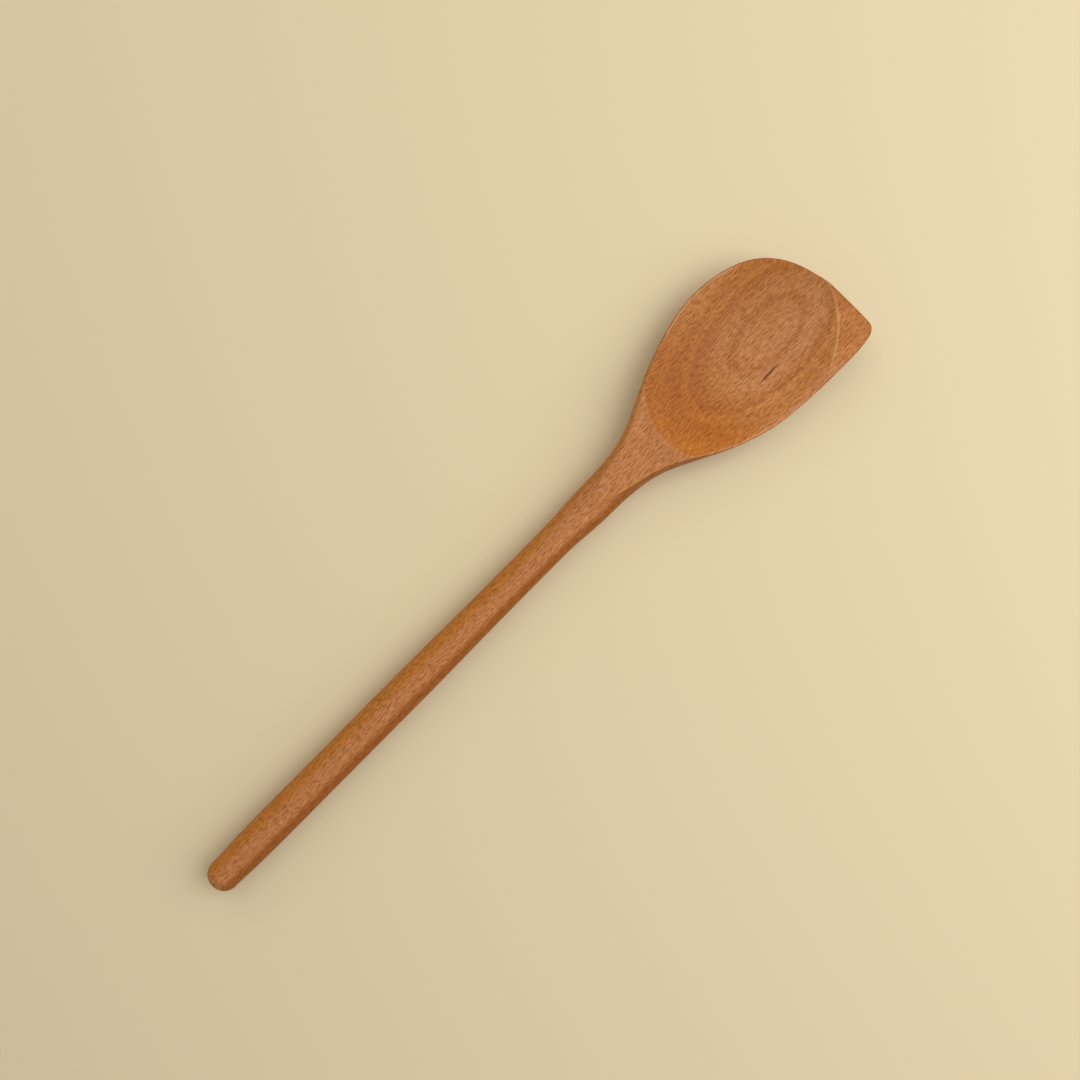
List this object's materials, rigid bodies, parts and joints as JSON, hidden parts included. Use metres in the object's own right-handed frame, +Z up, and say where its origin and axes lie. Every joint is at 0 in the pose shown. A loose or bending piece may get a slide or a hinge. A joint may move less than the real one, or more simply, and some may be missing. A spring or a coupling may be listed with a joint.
{
  "type": "wooden cooking spoon",
  "caption": "Long-handled cooking spoon cut from one piece of beech, with a shallow oval bowl, one rounded side and one square front corner.",
  "frame": {"origin": "on the surface that the spoon lies on, under the middle of its box", "axes": "+X along the handle towards the front edge of the head, +Y towards the head's rounded side, +Z up out of the bowl"},
  "size_m": [0.3, 0.0546, 0.013],
  "materials": {
    "beech_wood": "oiled beech, satin, with fine pore marks along the grain"
  },
  "bodies": {
    "root": {"spoon": "beech_wood"}
  },
  "joints": []
}
